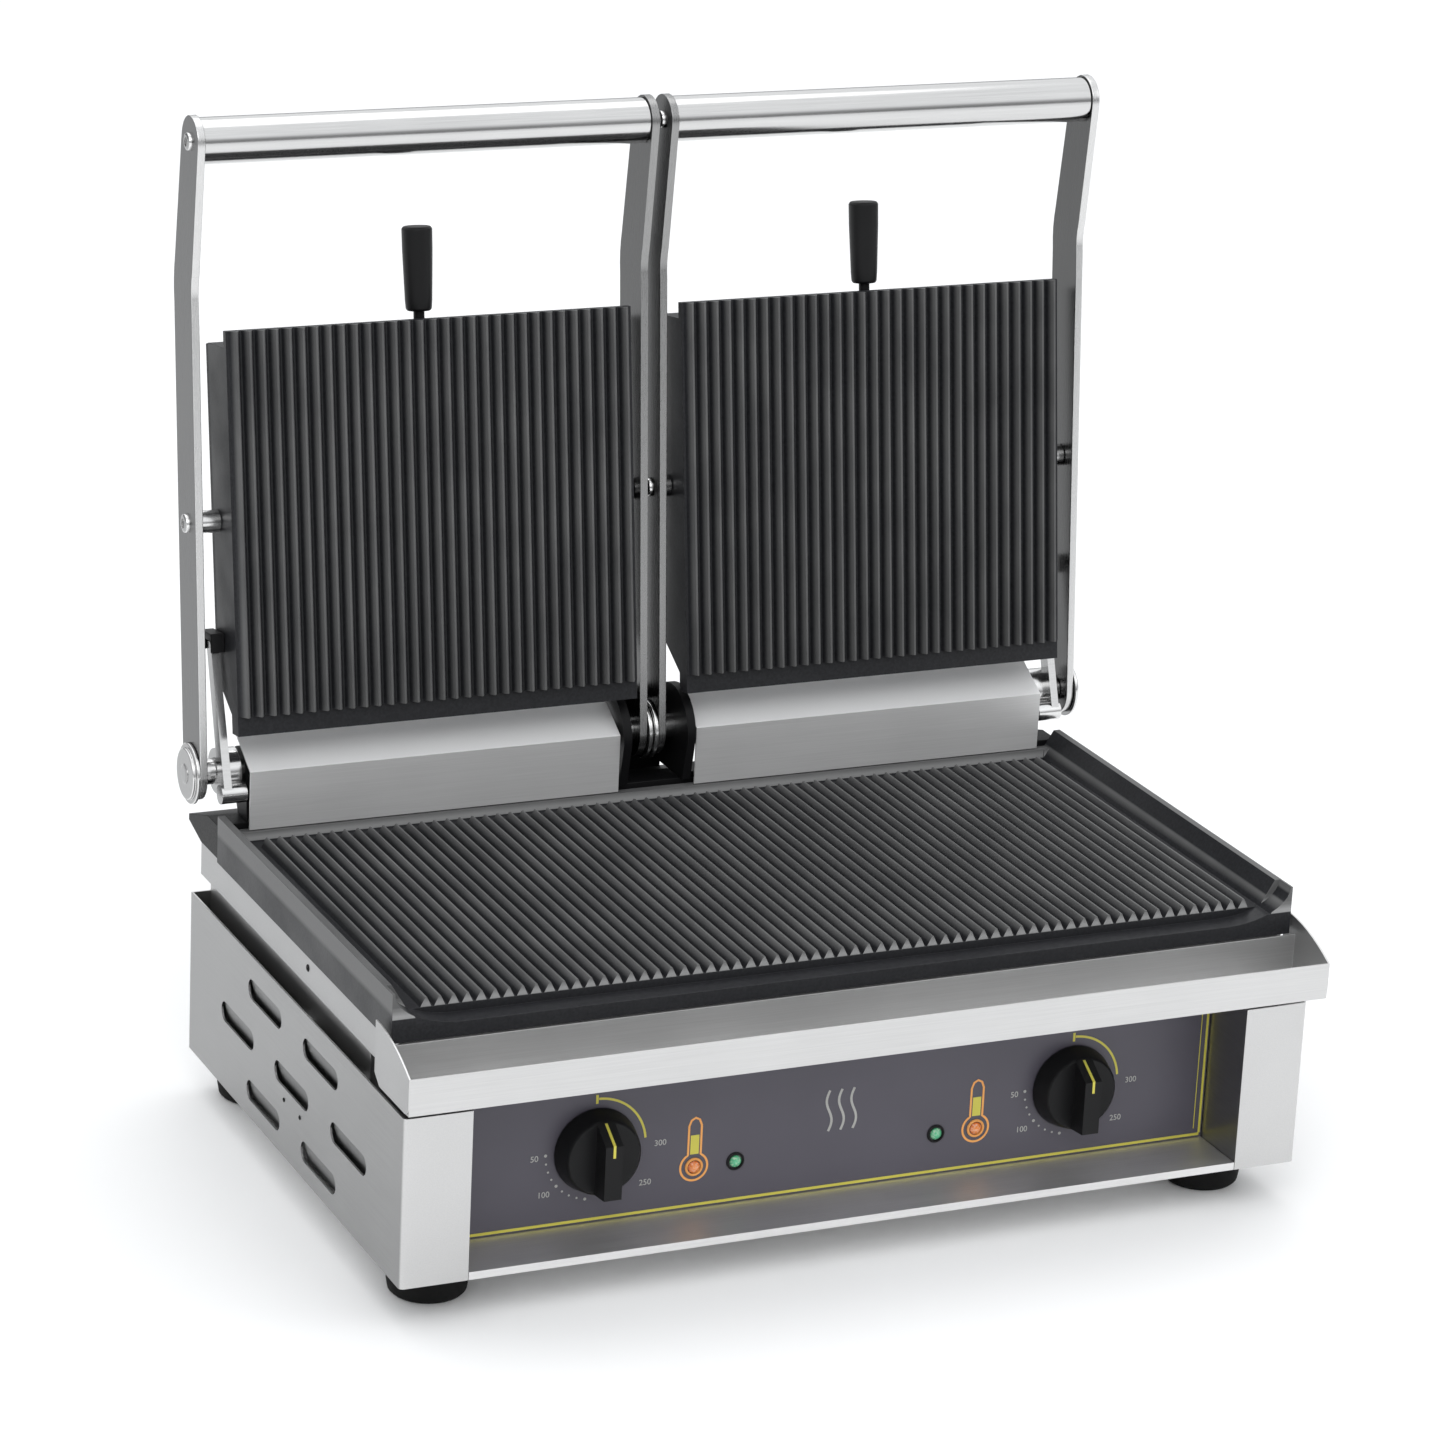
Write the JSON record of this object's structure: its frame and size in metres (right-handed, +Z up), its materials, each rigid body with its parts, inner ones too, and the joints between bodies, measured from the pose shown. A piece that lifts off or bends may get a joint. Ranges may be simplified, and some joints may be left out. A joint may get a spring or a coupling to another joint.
{
  "type": "double contact grill",
  "caption": "Countertop contact grill: a ribbed lower plate and hinged lids whose ribbed upper plates hang on pins between their arms and turn level as they close.",
  "frame": {"origin": "on the ground under the middle of the body, halfway across its width", "axes": "+Z up, -Y towards the user's side with the knobs and the gutter, +X to the right seen from the front"},
  "size_m": [0.6086, 0.411, 0.6194],
  "materials": {
    "stainless": "satin",
    "polished_steel": "polished",
    "enamelled_iron": "vitreous enamel",
    "black_sheet": "satin black",
    "fascia": "satin dark grey",
    "black_plastic": "satin",
    "rubber": "matte",
    "element_sheath": "heat-darkened",
    "spring_steel": "plain",
    "amber_lens": "translucent",
    "green_lens": "translucent"
  },
  "bodies": {
    "base": {"base_pan": "stainless", "inner_chassis": "stainless", "back_panel": "stainless", "plate_skirt": "stainless", "front_gutter": "stainless", "control_panel": "fascia", "lower_plate": "enamelled_iron", "lower_element": "element_sheath", "hinge_beam": "black_sheet", "cable_gland": "black_plastic", "front_left_foot": "rubber", "front_right_foot": "rubber", "rear_left_foot": "rubber", "rear_right_foot": "rubber", "left_heat_lamp": "amber_lens", "left_power_lamp": "green_lens", "right_power_lamp": "green_lens", "right_heat_lamp": "amber_lens", "left_side_panel": "stainless", "left_hinge_bracket": "black_sheet", "left_hinge_cover": "stainless", "left_counter_spring": "spring_steel", "left_thermostat": "black_sheet", "right_side_panel": "stainless", "right_hinge_bracket": "black_sheet", "right_hinge_cover": "stainless", "right_counter_spring": "spring_steel", "right_thermostat": "black_sheet"},
    "left_lid": {"left_hinge_shaft": "polished_steel", "left_hinge_disc": "stainless", "left_outer_arm": "stainless", "left_inner_arm": "stainless", "left_handle_tube": "polished_steel", "left_outer_pin": "polished_steel", "left_inner_pin": "polished_steel", "left_stay_rod": "polished_steel"},
    "left_plate": {"left_upper_plate": "enamelled_iron", "left_upper_cover": "stainless", "left_upper_element": "element_sheath", "left_grip": "black_plastic", "left_guide_block": "black_plastic"},
    "left_control": {"left_knob": "black_plastic"},
    "right_lid": {"right_hinge_shaft": "polished_steel", "right_hinge_disc": "stainless", "right_outer_arm": "stainless", "right_inner_arm": "stainless", "right_handle_tube": "polished_steel", "right_outer_pin": "polished_steel", "right_inner_pin": "polished_steel", "right_stay_rod": "polished_steel"},
    "right_plate": {"right_upper_plate": "enamelled_iron", "right_upper_cover": "stainless", "right_upper_element": "element_sheath", "right_grip": "black_plastic", "right_guide_block": "black_plastic"},
    "right_control": {"right_knob": "black_plastic"}
  },
  "joints": [
    {"name": "left_lid_hinge", "type": "hinge", "parent": "base", "child": "left_lid", "pos_m": [0, 0.163, 0.217], "axis": [1, 0, 0], "range_deg": [0, 95.73]},
    {"name": "left_plate_tilt", "type": "hinge", "parent": "left_lid", "child": "left_plate", "pos_m": [0, 0.17847, 0.37123], "axis": [1, 0, 0], "range_deg": [0, 2.8]},
    {"name": "left_knob_turn", "type": "hinge", "parent": "base", "child": "left_control", "pos_m": [-0.155, -0.144, 0.0765], "axis": [0, -1, 0], "range_deg": [-300, 0]},
    {"name": "right_lid_hinge", "type": "hinge", "parent": "base", "child": "right_lid", "pos_m": [0, 0.163, 0.217], "axis": [1, 0, 0], "range_deg": [0, 95.73]},
    {"name": "right_plate_tilt", "type": "hinge", "parent": "right_lid", "child": "right_plate", "pos_m": [0, 0.17847, 0.37123], "axis": [1, 0, 0], "range_deg": [0, 2.8]},
    {"name": "right_knob_turn", "type": "hinge", "parent": "base", "child": "right_control", "pos_m": [0.155, -0.144, 0.0765], "axis": [0, -1, 0], "range_deg": [-300, 0]}
  ],
  "couplings": [
    {"joint": "left_plate_tilt", "follows": "left_lid_hinge", "ratio": 0.0291},
    {"joint": "right_plate_tilt", "follows": "right_lid_hinge", "ratio": 0.0291}
  ]
}
